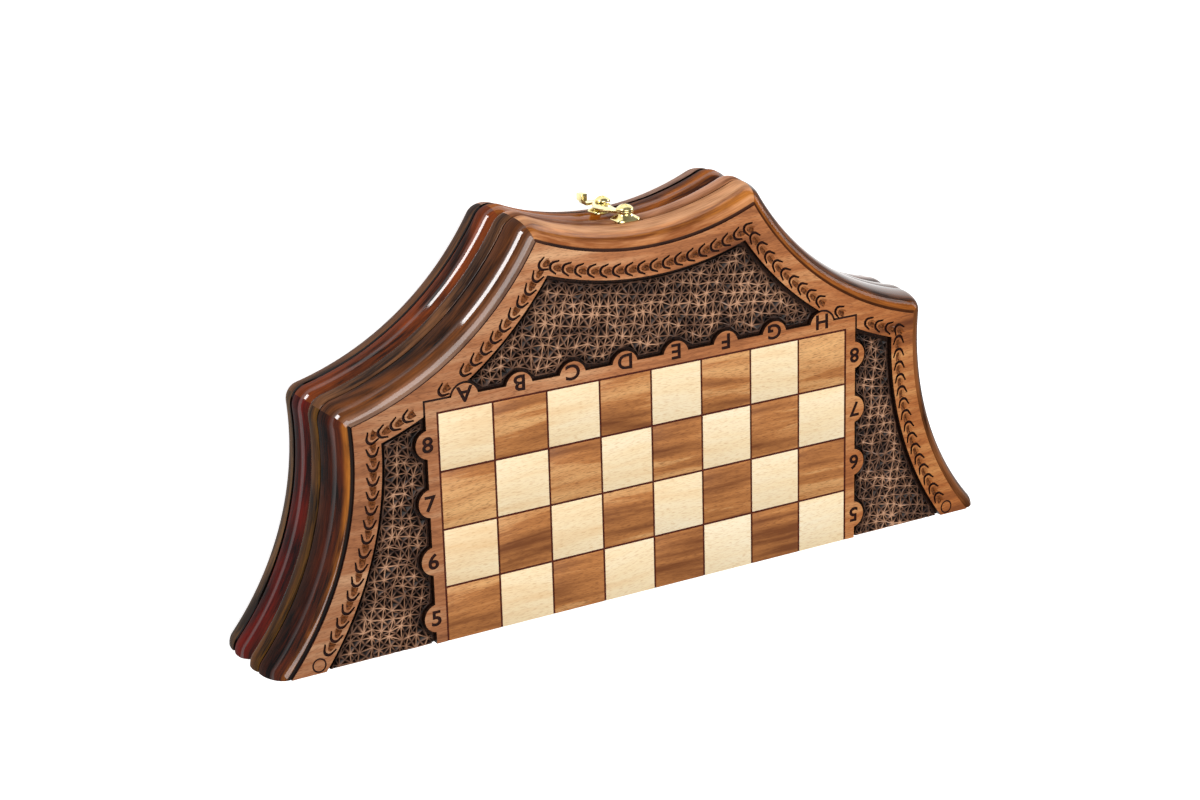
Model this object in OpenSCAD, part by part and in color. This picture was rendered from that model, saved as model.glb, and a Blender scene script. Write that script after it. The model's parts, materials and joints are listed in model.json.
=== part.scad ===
/* [Board] */
// Side of one chess square
square_side = 35; // [34:0.5:36]
// Distance of each fold face from the hinge axis
fold_offset = 1.8; // [1.8:0.1:2.4]
// Width of the plain strip round the squares
strip_w = 7.4; // [6:0.2:8]
// Radius of the round tabs that carry the letters and numbers
tab_r = 8.6; // [7:0.2:9]
// Distance of a tab's centre inside the edge of the strip
tab_inset = 1.6; // [0:0.2:2]
// Width of an engraved line between squares
line_w = 0.9; // [0.6:0.1:1.2]
// Width of the engraved line round the board's corners
edge_line_w = 1.3; // [1:0.1:1.8]
// Depth of the engraved lines
line_depth = 0.6; // [0.4:0.1:1]

/* [Outline] */
// How far each of the board's ten hollow sides dips below its chord
side_sag = 14.7; // [14.4:0.1:15]
// Width of the flat carved frame
frame_w = 16.5; // [14:0.5:18]
// Depth of the carved ground below the frame
ground_depth = 2.5; // [2:0.5:3]

/* [Case] */
// Height of one closed half
half_t = 38.5; // [37:0.5:42]
// Thickness of the carved panel
panel_t = 8; // [7:0.5:9]
// Width of the rails inside the border line
rail_w = 12; // [10:0.5:13]
// Gap between the two halves when they are shut
seam_gap = 0.3; // [0.2:0.1:0.4]

/* [Moulding] */
// Step from the flat frame down to the moulding
step_h = 1.2; // [0.8:0.1:1.6]
// Projection of the large convex curve beyond the border line
ovolo_w = 11.6; // [10:0.2:12]
// Depth at which the large convex curve ends
ovolo_end = 19.6; // [18:0.2:20]
// Depth of the quirk cut between the curve and the bead
quirk_w = 1.4; // [1:0.1:1.6]
// Projection of the bead's crest beyond the border line
bead_w = 12.4; // [12:0.2:13]
// Height of the bead
bead_h = 12.8; // [12:0.2:13]
// Projection that is left at the seam, at the bottom of its groove
seam_w = 5.5; // [4:0.5:7]

/* [Hinges] */
// Distance of each hinge from the middle
hinge_x = 130; // [110:5:150]
// Length of a hinge
hinge_l = 50; // [50:1:55]
// Width of a leaf beyond the fold face
leaf_w = 9; // [8.5:0.5:10]
// Thickness of a leaf
leaf_t = 0.7; // [0.6:0.1:0.8]
// Radius of the barrel
barrel_r = 1.5; // [1.4:0.1:1.5]
// Radius of the hinge pin
pin_r = 0.8; // [0.7:0.05:0.85]
// Distance between the screws in a leaf
leaf_screw_pitch = 17; // [15:0.5:19]

/* [Clasp] */
// Distance of each clasp post from the seam
post_offset = 13; // [12.5:0.5:13]
// Width of a clasp plate along the seam
plate_w = 16; // [14:1:18]
// Width of a clasp plate across the bead
plate_d = 12.4; // [11.5:0.1:12.4]
// Thickness of a clasp plate
plate_t = 1.5; // [1:0.1:2]
// Height of the conical boss with the plate under it
boss_h = 4.5; // [4.2:0.1:5]
// Thickness of the hook
hook_t = 1.5; // [1.2:0.1:1.8]
// Radius of the two posts
post_r = 2; // [1.8:0.1:2.2]
// Radius of the pivot screw's head
pivot_head_r = 5.6; // [5:0.1:6]
// Radius of the catch post's head
catch_head_r = 5; // [4.5:0.1:5.5]

/* [Hidden] */

$fn = 128;
cut = 1;

// The board has ten sides, five to a half, and columns and rows of squares
sides_per_half = 5;
side_angle = 36;
columns = 8;
rows = 4;

// The border line is a ten-cornered figure whose sides are hollow arcs, set out on a 5, 12, 13 triangle
half_chord = 5 * side_sag;
arc_centre = 12 * side_sag;
arc_r = 13 * side_sag;
corner_r = half_chord / sin(side_angle / 2);
apothem = half_chord / tan(side_angle / 2);

// The origin is under the middle of the closed box, so the hinge axis lies in front of it
hinge_y = -115;
fold_y = hinge_y + fold_offset;
seam_face = half_t - seam_gap / 2;

// Edges of the board, measured from the fold face of a half
board_half_w = columns / 2 * square_side;
board_top = rows * square_side - fold_offset;
strip_half_w = board_half_w + strip_w;
strip_top = board_top + strip_w;

// Parts of the hinge
knuckles = 5;
knuckle_l = hinge_l / knuckles;
knuckle_gap = 0.3;
pin_clearance = 0.05;
base_knuckles = [0, 2, 4];
lid_knuckles = [1, 3];
leaf_screw_r = 1.1;
leaf_head_r = 2;
leaf_head_h = 1;
leaf_screw_l = 10;
leaf_screw_y = (leaf_w + barrel_r) / 2;

// Parts of the clasp, whose heights are measured outward from its flat seats
seat_offset = bead_w - 1;
seat_y = apothem - side_sag + seat_offset;
post_z = half_t - post_offset;
hook_low = boss_h + 0.3;
head_low = hook_low + hook_t + 0.3;
post_depth = 13;
dome_h = 3.2;
boss_r = 6;
boss_top_r = 4.6;
hook_arc = [10, -14];
hook_arc_r = norm(hook_arc);
hook_band = 3.4;
hook_start = 125;
hook_end = 250;
hook_play = 0.3;
eye_r = 5.2;
tab_w = 6;
tab_end = 9;
tab_drop = 7.6;
tab_bend_r = 1.5;
tab_rise = 4.2;

LIGHT = "burlywood";
DARK = "peru";
LACQUER = "saddlebrown";
STAIN = "sienna";
BRASS = "gold";

// Where the local frame of a half, with its outer face down, goes in the closed box
module in_base() {
    translate([0, fold_y, 0]) children();
}

module in_lid() {
    translate([0, fold_y, 2 * half_t]) rotate([0, 180, 0]) children();
}

// Turns one side's own frame, whose outward direction is +Y, to side k of a half
module on_side(k) {
    rotate([0, 0, side_angle * (k + 0.5) - 90]) translate([0, apothem, 0]) children();
}

// The outline of a half at a distance w inside the border line
module outline(w) {
    difference() {
        polygon([for (k = [0:sides_per_half]) corner_r * [cos(side_angle * k), sin(side_angle * k)]]);
        for (k = [0:sides_per_half - 1]) on_side(k) translate([0, arc_centre]) circle(r = arc_r + w);
    }
}

// The board's strip with its tabs, grown by g
module board_outline(g = 0) {
    translate([-strip_half_w - g, 0]) square([2 * (strip_half_w + g), strip_top + g]);
    for (i = [0:columns - 1])
        translate([(i + 0.5) * square_side - board_half_w, strip_top - tab_inset]) circle(r = tab_r + g);
    for (j = [0:rows - 1], s = [-1, 1])
        translate([s * (strip_half_w - tab_inset), (j + 0.5) * square_side - fold_offset])
            circle(r = tab_r + g);
}

// One square of the board, standing on the floor of the engraved lines
module board_square(i, j) {
    low_y = max(0, j * square_side - fold_offset + line_w / 2);
    high_y = (j + 1) * square_side - fold_offset - line_w / 2;
    translate([i * square_side - board_half_w + line_w / 2, low_y, 0])
        cube([square_side - line_w, high_y - low_y, line_depth + 0.5]);
}

module panel() {
    color(STAIN) difference() {
        linear_extrude(panel_t) outline(0);
        translate([0, 0, -cut]) linear_extrude(cut + ground_depth) difference() {
            outline(frame_w);
            translate([0, -cut]) board_outline();
            board_outline();
        }
        translate([0, 0, -cut]) linear_extrude(cut + line_depth) intersection() {
            difference() {
                board_outline(edge_line_w);
                board_outline();
            }
            translate([-corner_r, 0]) square([2 * corner_r, corner_r]);
        }
        translate([-board_half_w - line_w / 2, -cut, -cut])
            cube([2 * board_half_w + line_w, board_top + line_w / 2 + cut, cut + line_depth]);
    }
    for (i = [0:columns - 1], j = [0:rows - 1])
        color((i + j) % 2 == 0 ? LIGHT : DARK) board_square(i, j);
}

// Section of the moulding outside the border line: [projection, depth below the frame]
bead_low = ovolo_end + quirk_w;
bead_foot = bead_w - 1.8;
ovolo = [for (a = [0:7.5:90]) [1 + (ovolo_w - 1) * sin(a), step_h + (ovolo_end - step_h) * (1 - cos(a))]];
bead = [for (a = [-90:15:90]) [bead_foot + (bead_w - bead_foot) * cos(a), bead_low + bead_h * (1 + sin(a)) / 2]];
quirk = [[bead_foot - 0.6, ovolo_end + quirk_w / 2]];
section = [for (p = concat(ovolo, quirk, bead)) [round(100 * p[0]) / 100, round(100 * p[1]) / 100]];
moulding = concat([[0, step_h]], section, [[seam_w, seam_face], [0, seam_face]]);
rail_section = concat([[-rail_w, panel_t], [0, panel_t]], moulding, [[-rail_w, seam_face]]);

// The rail bends round the arc's centre, between its mitres, and its moulding turns each corner of the border
module rail_blank() {
    intersection() {
        translate([0, arc_centre, 0]) rotate_extrude(angle = 60, start = 240)
            polygon([for (p = rail_section) [arc_r - p[0], p[1]]]);
        linear_extrude(half_t)
            polygon([[0, -apothem], [half_chord, 0], [0, arc_centre], [-half_chord, 0]]);
    }
    for (s = [0, 1]) mirror([s, 0, 0]) translate([half_chord, 0, 0]) intersection() {
        rotate_extrude() polygon(moulding);
        linear_extrude(half_t)
            polygon([[0, 0], 2 * bead_w * [sin(side_angle / 2), cos(side_angle / 2)], 2 * bead_w * [-5, 12] / 13]);
    }
}

module rail(k) {
    color(LACQUER) on_side(k) rail_blank();
}

// The middle rail has a flat seat for a clasp plate, with the hole for its post
module top_rail() {
    color(LACQUER) difference() {
        on_side(2) rail_blank();
        translate([-plate_w / 2 - 0.5, seat_y, post_z - plate_d / 2 - 0.3])
            cube([plate_w + 1, 2 * bead_w, plate_d + 0.6]);
        post_hole();
    }
}

module post_hole() {
    translate([0, seat_y + cut, post_z]) rotate([90, 0, 0]) cylinder(h = post_depth + cut, r = post_r);
}

module fold_rail() {
    color(STAIN) difference() {
        translate([0, 0, panel_t]) linear_extrude(seam_face - panel_t) intersection() {
            outline(rail_w);
            translate([-corner_r, 0]) square([2 * corner_r, rail_w]);
        }
        for (s = [-1, 1]) translate([s * hinge_x, 0, 0]) {
            translate([-hinge_l / 2, -cut, seam_face - leaf_t]) cube([hinge_l, leaf_w + cut, leaf_t + cut]);
            leaf_screws();
        }
    }
}

// One leaf of a hinge: its plate, its own knuckles, and room for the other leaf's
module hinge_leaf(own, bore_r) {
    color(BRASS) difference() {
        union() {
            translate([-hinge_l / 2, -fold_offset, seam_face - leaf_t])
                cube([hinge_l, leaf_w + fold_offset, leaf_t]);
            for (n = own) translate([knuckle_x(n), -fold_offset, half_t]) rotate([0, 90, 0])
                cylinder(h = knuckle_l, r = barrel_r);
        }
        for (n = [0:knuckles - 1]) if (len(search(n, own)) == 0)
            translate([knuckle_x(n) - knuckle_gap, -fold_offset - 2 * barrel_r, half_t - 2 * barrel_r])
                cube([knuckle_l + 2 * knuckle_gap, 2 * barrel_r + fold_offset, 4 * barrel_r]);
        translate([-hinge_l, -fold_offset, half_t]) rotate([0, 90, 0]) cylinder(h = 2 * hinge_l, r = bore_r);
        leaf_screws();
    }
}

function knuckle_x(n) = n * knuckle_l - hinge_l / 2;

module hinge_pin() {
    color(BRASS) translate([-hinge_l / 2, -fold_offset, half_t]) rotate([0, 90, 0])
        cylinder(h = hinge_l, r = pin_r);
}

module leaf_screws(slot = false) {
    for (s = [-1:1]) translate([s * leaf_screw_pitch, leaf_screw_y, seam_face]) difference() {
        union() {
            translate([0, 0, -leaf_screw_l]) cylinder(h = leaf_screw_l - leaf_head_h / 2, r = leaf_screw_r);
            translate([0, 0, -leaf_head_h]) cylinder(h = leaf_head_h, r1 = leaf_screw_r, r2 = leaf_head_r);
        }
        if (slot) translate([-leaf_head_r, -0.25, -0.4]) cube([2 * leaf_head_r, 0.5, 1]);
    }
}

module hinge_screws() {
    color(BRASS) for (s = [-1, 1]) translate([s * hinge_x, 0, 0]) leaf_screws(true);
}

// Puts +Z of the clasp's own frame on the seat's outward direction, at the post
module on_seat() {
    translate([0, seat_y, post_z]) rotate([-90, 0, 0]) children();
}

// A plate with cut corners that carries a conical boss
module clasp_plate() {
    color(BRASS) on_seat() difference() {
        union() {
            linear_extrude(plate_t) intersection() {
                square([plate_w, plate_d], center = true);
                rotate(45) square(0.62 * (plate_w + plate_d), center = true);
            }
            cylinder(h = plate_t, r = boss_r);
            translate([0, 0, plate_t]) cylinder(h = boss_h - plate_t, r1 = boss_r, r2 = boss_top_r);
        }
        translate([0, 0, -cut]) cylinder(h = boss_h + 2 * cut, r = post_r);
    }
}

// A post with a domed head and a cross recess
module headed_post(head_r) {
    sphere_r = (head_r * head_r + dome_h * dome_h) / (2 * dome_h);
    color(BRASS) on_seat() difference() {
        union() {
            translate([0, 0, -post_depth]) cylinder(h = post_depth + head_low + cut, r = post_r);
            translate([0, 0, head_low]) rotate_extrude() intersection() {
                translate([0, dome_h - sphere_r]) circle(r = sphere_r);
                square([head_r - 0.4, dome_h]);
            }
        }
        for (a = [0, 90]) rotate([0, 0, a]) translate([-2.4, -0.4, head_low + dome_h - 1.1])
            cube([4.8, 0.8, 2]);
    }
}

// The hook turns on the pivot screw and takes the catch post in its notch
module hook_shape() {
    reach = 2 * post_offset;
    tip = hook_arc + hook_arc_r * [cos(hook_end), sin(hook_end)];
    difference() {
        union() {
            circle(r = eye_r);
            intersection() {
                translate(hook_arc) difference() {
                    circle(r = hook_arc_r + hook_band);
                    circle(r = hook_arc_r - hook_band);
                }
                polygon([hook_arc, for (a = [hook_start:25:hook_end]) hook_arc + 40 * [cos(a), sin(a)]]);
            }
            translate(tip) circle(r = hook_band);
            translate([-tab_end, -reach - tab_drop]) square([tab_end + 1, tab_w]);
        }
        circle(r = post_r + pin_clearance);
        translate([0, -reach]) circle(r = post_r + hook_play);
        intersection() {
            difference() {
                circle(r = reach + post_r + hook_play);
                circle(r = reach - post_r - hook_play);
            }
            translate([0, -2 * reach]) square(2 * reach);
        }
    }
}

module hook() {
    reach = 2 * post_offset;
    color(BRASS) translate([0, fold_y + seat_y + hook_low + hook_t, half_t + post_offset]) rotate([90, 0, 0]) {
        linear_extrude(hook_t) hook_shape();
        translate([-tab_end, -reach - tab_drop, -tab_bend_r]) {
            rotate([-90, 0, 0]) rotate_extrude(angle = 90, start = 180)
                translate([tab_bend_r, 0]) square([hook_t, tab_w]);
            translate([-tab_bend_r - hook_t, 0, -tab_rise]) cube([hook_t, tab_w, tab_rise]);
        }
    }
}

in_base() panel();  // base_panel
in_base() rail(4);  // base_rail_lower_left
in_base() rail(3);  // base_rail_upper_left
in_base() top_rail();  // base_rail_top
in_base() rail(1);  // base_rail_upper_right
in_base() rail(0);  // base_rail_lower_right
in_base() fold_rail();  // base_fold_rail
in_lid() panel();  // lid_panel
in_lid() rail(0);  // lid_rail_lower_left
in_lid() rail(1);  // lid_rail_upper_left
in_lid() top_rail();  // lid_rail_top
in_lid() rail(3);  // lid_rail_upper_right
in_lid() rail(4);  // lid_rail_lower_right
in_lid() fold_rail();  // lid_fold_rail
in_base() translate([-hinge_x, 0, 0]) hinge_leaf(base_knuckles, pin_r);  // hinge_left_base_leaf
in_lid() translate([hinge_x, 0, 0]) hinge_leaf(lid_knuckles, pin_r + pin_clearance);  // hinge_left_lid_leaf
in_base() translate([-hinge_x, 0, 0]) hinge_pin();  // hinge_left_pin
in_base() translate([hinge_x, 0, 0]) hinge_leaf(base_knuckles, pin_r);  // hinge_right_base_leaf
in_lid() translate([-hinge_x, 0, 0]) hinge_leaf(lid_knuckles, pin_r + pin_clearance);  // hinge_right_lid_leaf
in_base() translate([hinge_x, 0, 0]) hinge_pin();  // hinge_right_pin
in_base() hinge_screws();  // base_hinge_screws
in_lid() hinge_screws();  // lid_hinge_screws
in_base() clasp_plate();  // catch_plate
in_base() headed_post(catch_head_r);  // catch_post
in_lid() clasp_plate();  // pivot_plate
in_lid() headed_post(pivot_head_r);  // pivot_screw
hook();
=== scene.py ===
import json
import math
import random

import bmesh
import bpy
from mathutils import Matrix, Vector
from mathutils.geometry import delaunay_2d_cdt


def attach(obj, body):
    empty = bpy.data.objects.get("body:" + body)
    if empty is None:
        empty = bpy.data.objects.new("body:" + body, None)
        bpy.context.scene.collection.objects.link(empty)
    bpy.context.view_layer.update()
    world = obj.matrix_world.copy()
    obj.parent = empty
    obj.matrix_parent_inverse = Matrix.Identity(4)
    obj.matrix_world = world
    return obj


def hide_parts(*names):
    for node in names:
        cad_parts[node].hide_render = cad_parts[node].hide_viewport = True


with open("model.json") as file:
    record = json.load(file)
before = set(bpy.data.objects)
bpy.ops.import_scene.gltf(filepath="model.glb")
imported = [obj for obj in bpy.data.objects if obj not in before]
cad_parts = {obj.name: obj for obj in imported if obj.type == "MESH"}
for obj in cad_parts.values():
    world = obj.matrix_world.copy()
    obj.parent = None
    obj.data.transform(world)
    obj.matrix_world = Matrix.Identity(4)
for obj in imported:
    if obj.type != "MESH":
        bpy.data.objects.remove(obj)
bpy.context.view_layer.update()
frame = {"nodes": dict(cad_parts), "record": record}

# Panels
# Each half's outer face is one beech board. Its frame and the strip round the squares stay flat, the ground
# between them is carved away, and letters, numbers, edge lines, crescents and rings are cut in and burnt.
# Lengths are in millimetres on a half that lies face down.
MM = 0.001
TURN = math.radians(36)
SIDE_SAG = 14.7
HALF_CHORD, ARC_CENTRE, ARC_R = 5 * SIDE_SAG, 12 * SIDE_SAG, 13 * SIDE_SAG
APOTHEM = HALF_CHORD / math.tan(TURN / 2)
CENTRE_DISTANCE = APOTHEM + ARC_CENTRE
SIDES = range(5)
SIDE_STEPS = 28
FOLD_Y, SHUT_HEIGHT = -113.2, 77.0
HALF_PLACE = {
    "base": Matrix.Scale(MM, 4) @ Matrix.Translation((0, FOLD_Y, 0)),
    "lid": Matrix.Scale(MM, 4) @ Matrix.Translation((0, FOLD_Y, SHUT_HEIGHT)) @ Matrix.Rotation(math.pi, 4, "Y"),
}
FINEST, ON_FOLD = 0.0005, 0.001

PANEL_T, GROUND_DEPTH, LINE_DEPTH, LETTER_DEPTH = 8.0, 4.0, 0.35, 0.5
FRAME_W, SQUARE, LINE_W, EDGE_LINE, STRIP_W, FOLD_LOSS = 16.5, 35.0, 1.3, 1.3, 7.4, 1.8
GRID_X, GRID_Y = 4 * SQUARE, 4 * SQUARE - FOLD_LOSS
STRIP_X, STRIP_Y = GRID_X + STRIP_W, GRID_Y + STRIP_W
TAB_R, TAB_INSET = 8.6, 1.6
TABS = [Vector(((i + 0.5) * SQUARE - GRID_X, STRIP_Y - TAB_INSET)) for i in range(8)]
TABS += [Vector((s * (STRIP_X - TAB_INSET), (j + 0.5) * SQUARE - FOLD_LOSS)) for j in range(4) for s in (-1, 1)]
LETTER_H, LETTER_STRETCH, LETTER_BOLD, LETTER_UP, NUMBER_OUT = 9.4, 1.12, 0.026, 8.0, 7.0
CHAIN_INSET, CHAIN_PITCH, CHAIN_COUNT = 11.0, 8.4, 16
SCALE_BACK, CRESCENT_WALL, CRESCENT_DEPTH = 3.8, 0.2, 1.1
HOLLOW_VALLEY = ((2.9, -0.3, 0.0), (4.0, -0.7, 0.5), (5.8, -0.9, 1.1), (7.5, -0.9, 1.6), (8.0, -0.5, 0.0))
HOLLOW_SIDE = ((8.1, 0.9), (8.55, 2.2), (6.8, 2.35), (5.0, 2.2), (3.75, 1.75), (3.0, 1.0))
RING_R, RING_LINE, RING_S, RING_INSET = 4.4, 1.0, 64.6, 10.2


def tone(red, green, blue):
    """A colour given as it looks on a screen, from 0 to 255."""
    return tuple(((c / 255 + 0.055) / 1.055) ** 2.4 if c > 10 else c / 255 / 12.92 for c in (red, green, blue)) + (1,)


def add(tree, kind, settings=(), **inputs):
    """A new node with its inputs set or joined: _0 is the first socket, and From_Min the one called From Min."""
    made = tree.nodes.new("ShaderNode" + kind)
    for key, value in dict(settings).items():
        setattr(made, key, value)
    for key, value in inputs.items():
        socket = made.inputs[int(key[1:])] if key[0] == "_" else made.inputs[key.replace("_", " ")]
        if isinstance(value, bpy.types.NodeSocket):
            tree.links.new(value, socket)
        else:
            socket.default_value = value
    return made


def reckoned(tree, operation, *values):
    """The result of one sum on sockets and plain numbers."""
    sockets = {f"_{i}": value for i, value in enumerate(values)}
    return add(tree, "Math", {"operation": operation}, **sockets).outputs[0]


def stretched(tree, vector, *factors):
    return add(tree, "VectorMath", {"operation": "MULTIPLY"}, _0=vector, _1=factors).outputs[0]


def ramp(tree, factor, *stops):
    """Colours at rising places along factor, blended in between."""
    made = add(tree, "ValToRGB", Fac=factor)
    elements = made.color_ramp.elements
    elements[0].position, elements[0].color = stops[0]
    elements[1].position, elements[1].color = stops[-1]
    for place, colour in stops[1:-1]:
        elements.new(place).color = colour
    return made.outputs["Color"]


def mixed(tree, factor, first, second, blend="MIX"):
    made = add(tree, "Mix", {"data_type": "RGBA", "blend_type": blend}, _0=factor, _6=first, _7=second)
    return made.outputs[2]


def new_material(name):
    material = bpy.data.materials.new(name)
    material.use_nodes = True
    tree = material.node_tree
    tree.nodes.clear()
    shader = add(tree, "BsdfPrincipled")
    add(tree, "OutputMaterial", Surface=shader.outputs[0])
    return material, tree, shader


def where(tree):
    return add(tree, "TexCoord").outputs["Object"]


figure = bpy.data.node_groups.new("wood_figure", "ShaderNodeTree")
for socket_name, kind in (("Vector", "NodeSocketVector"), ("Seed", "NodeSocketFloat")):
    figure.interface.new_socket(socket_name, in_out="INPUT", socket_type=kind)
for socket_name in ("Streak", "Ray", "Tone"):
    figure.interface.new_socket(socket_name, in_out="OUTPUT", socket_type="NodeSocketFloat")
figure_in, figure_out = figure.nodes.new("NodeGroupInput"), figure.nodes.new("NodeGroupOutput")
seed_shift = add(figure, "CombineXYZ", X=figure_in.outputs["Seed"], Y=figure_in.outputs["Seed"])
shifted = add(figure, "VectorMath", {"operation": "ADD"}, _0=figure_in.outputs["Vector"], _1=seed_shift.outputs[0])
slow = add(figure, "TexNoise", Vector=shifted.outputs[0], Scale=9.0, Detail=1.0)
bent = add(figure, "VectorMath", {"operation": "MULTIPLY_ADD"}, _0=slow.outputs["Color"], _1=(0.0, 0.012, 0.0),
           _2=shifted.outputs[0]).outputs[0]
streaks = add(figure, "TexNoise", Vector=stretched(figure, bent, 14.0, 170.0, 170.0), Scale=1.0, Detail=6.0,
              Roughness=0.62)
rays = add(figure, "TexNoise", Vector=stretched(figure, bent, 260.0, 2400.0, 2400.0), Scale=1.0, Detail=1.0)
rays_cut = add(figure, "MapRange", Value=rays.outputs[0], From_Min=0.53, From_Max=0.68)
tones = add(figure, "TexNoise", Vector=stretched(figure, bent, 6.0, 30.0, 30.0), Scale=1.0, Detail=2.0)
for socket_name, made in (("Streak", streaks), ("Ray", rays_cut), ("Tone", tones)):
    figure.links.new(made.outputs[0], figure_out.inputs[socket_name])


def wood_figure(tree, seed):
    """The figure of beech with the grain along the fold: long streaks, short rays and slow changes of tone."""
    group = tree.nodes.new("ShaderNodeGroup")
    group.node_tree = figure
    group.inputs["Seed"].default_value = seed
    tree.links.new(where(tree), group.inputs["Vector"])
    return group.outputs


def beech(name, seed, dark, mid, light, ray_colour, ray_strength, roughness, patch=0.0, painted_light_tint=()):
    """Varnished beech between three tones. Patch is how strongly blots of staining show, with ragged edges, and
    painted_light_tint paints light in from the box's left end to its right end: greyer and cooler to the left
    for a sheen, warmer and more orange to the right."""
    material, tree, shader = new_material(name)
    marks = wood_figure(tree, seed)
    depth = reckoned(tree, "MULTIPLY_ADD", marks["Tone"], 0.8, -0.25)
    depth = reckoned(tree, "MULTIPLY_ADD", marks["Streak"], 0.75, depth)
    ragged = reckoned(tree, "MULTIPLY_ADD", marks["Streak"], 0.35, marks["Tone"])
    blots = add(tree, "MapRange", Value=ragged, From_Min=0.69, From_Max=0.71, To_Min=-patch, To_Max=patch)
    depth = reckoned(tree, "ADD", depth, blots.outputs[0])
    wood = ramp(tree, depth, (0.28, dark), (0.5, mid), (0.78, light))
    wood = mixed(tree, reckoned(tree, "MULTIPLY", marks["Ray"], ray_strength), wood, ray_colour)
    if painted_light_tint:
        along = add(tree, "SeparateXYZ", Vector=where(tree)).outputs["X"]
        place = add(tree, "MapRange", Value=along, From_Min=-0.25, From_Max=0.25).outputs[0]
        wood = mixed(tree, 1.0, wood, ramp(tree, place, *painted_light_tint), "MULTIPLY")
    tree.links.new(wood, shader.inputs["Base Color"])
    bump = add(tree, "Bump", Height=marks["Streak"], Strength=0.12, Distance=0.0006)
    tree.links.new(bump.outputs[0], shader.inputs["Normal"])
    shader.inputs["Roughness"].default_value = roughness
    shader.inputs["Specular IOR Level"].default_value = 0.3
    shader.inputs["Coat Weight"].default_value = 0.2
    shader.inputs["Coat Roughness"].default_value = 0.22
    return material


def burnt_and_shade_finish(name, colour, deepest=tone(12, 5, 3), shine=0.2):
    """Dark wood, sooty in spots: charred in the cuts, and painted shade on one slope of each hollow and on the
    panel's outer walls.
    """
    material, tree, shader = new_material(name)
    soot = add(tree, "TexNoise", Vector=where(tree), Scale=900.0, Detail=3.0)
    tree.links.new(ramp(tree, soot.outputs[0], (0.35, deepest), (0.75, colour)), shader.inputs["Base Color"])
    shader.inputs["Specular IOR Level"].default_value = shine
    shader.inputs["Roughness"].default_value = 0.5
    return material


# The frame's tint from end to end is painted light: greyer to the left for a sheen, more orange to the right.
frame_wood = beech("stained_frame", 0.0, tone(106, 56, 28), tone(190, 122, 76), tone(236, 182, 134),
                   tone(112, 62, 34), 0.55, 0.42,
                   painted_light_tint=((0.08, (0.72, 0.72, 0.76, 1)), (0.5, (1, 1, 1, 1)), (0.92, (0.86, 0.72, 0.46, 1))))
WOOD, BURNT_AND_WALL_SHADE, FLOOR, SHADED_SLOPE, GRID = range(5)
panel_finishes = [
    frame_wood,
    burnt_and_shade_finish("burnt_line_and_wall_shade", tone(62, 22, 13)),
    burnt_and_shade_finish("burnt_floor", tone(62, 34, 20)),
    # Painted shade for one slope of each hollow.
    burnt_and_shade_finish("painted_shade_slope", tone(150, 88, 46), tone(62, 32, 14), 0.06),
    burnt_and_shade_finish("burnt_grid", tone(108, 42, 24), tone(54, 18, 9)),
]


def finished(name, bm, body, materials, crease):
    """The finished piece, with crisp edges where its faces turn by more than crease degrees."""
    mesh = bpy.data.meshes.new(name)
    bm.to_mesh(mesh)
    bm.free()
    for material in materials:
        mesh.materials.append(material)
    mesh.shade_smooth()
    mesh.set_sharp_from_angle(angle=math.radians(crease))
    piece = bpy.data.objects.new(name, mesh)
    bpy.context.scene.collection.objects.link(piece)
    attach(piece, body)
    return piece


def ray(angle, length):
    return Vector((math.cos(angle), math.sin(angle))) * length


def side_centre(k):
    """The centre, outside the box, of the circle that side k is hollowed to."""
    return ray(TURN * (k + 0.5), CENTRE_DISTANCE)


def mitre_distance(inset):
    """How far from the box's middle two sides meet when both are moved in."""
    half = CENTRE_DISTANCE * math.sin(TURN / 2)
    return CENTRE_DISTANCE * math.cos(TURN / 2) - math.sqrt((ARC_R + inset) ** 2 - half * half)


def outline(inset):
    points, reach = [], mitre_distance(inset)
    for k in SIDES:
        centre = side_centre(k)
        first, last = ray(TURN * k, reach) - centre, ray(TURN * (k + 1), reach) - centre
        sweep = first.angle_signed(last)
        for i in range(SIDE_STEPS):
            points.append(centre + Matrix.Rotation(-sweep * i / SIDE_STEPS, 2) @ first)
    points.append(ray(math.pi, reach))
    return [Vector((p.x, max(p.y, 0))) for p in points]


def disc(centre, radius):
    return [centre + ray(math.tau * i / 40, radius) for i in range(40)]


def rectangle(half_width, top):
    return [Vector(p) for p in ((-half_width, 0), (half_width, 0), (half_width, top), (-half_width, top))]


def board_gap(p):
    """How far a point lies outside the board's strip and tabs; negative inside."""
    over_x, over_y = abs(p.x) - STRIP_X, p.y - STRIP_Y
    box = math.hypot(max(over_x, 0), max(over_y, 0)) + min(max(over_x, over_y), 0)
    return min(box, min((p - tab).length - TAB_R for tab in TABS))


def signed_area(shape):
    return sum(p.cross(q) for p, q in zip(shape, shape[1:] + shape[:1])) / 2


def glyph(character):
    """The faces of one character of Blender's own font, about their middle and scaled to LETTER_H."""
    curve = bpy.data.curves.new("glyph", "FONT")
    curve.resolution_u = 4
    curve.offset = LETTER_BOLD
    sizes = {}
    for body in ("H", character):
        curve.body = body
        holder = bpy.data.objects.new("glyph", curve)
        bpy.context.scene.collection.objects.link(holder)
        bpy.context.view_layer.update()
        mesh = bpy.data.meshes.new_from_object(holder.evaluated_get(bpy.context.evaluated_depsgraph_get()))
        ys, xs = [v.co.y for v in mesh.vertices], [v.co.x for v in mesh.vertices]
        sizes[body] = max(ys) - min(ys)
        bpy.data.objects.remove(holder)
    middle = Vector(((min(xs) + max(xs)) / 2, (min(ys) + max(ys)) / 2))
    scale = LETTER_H / sizes["H"]
    faces = [[(mesh.vertices[i].co.xy - middle) * scale for i in face.vertices] for face in mesh.polygons]
    return [face if signed_area(face) > 0 else face[::-1] for face in faces if abs(signed_area(face)) > 1e-4]


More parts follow.
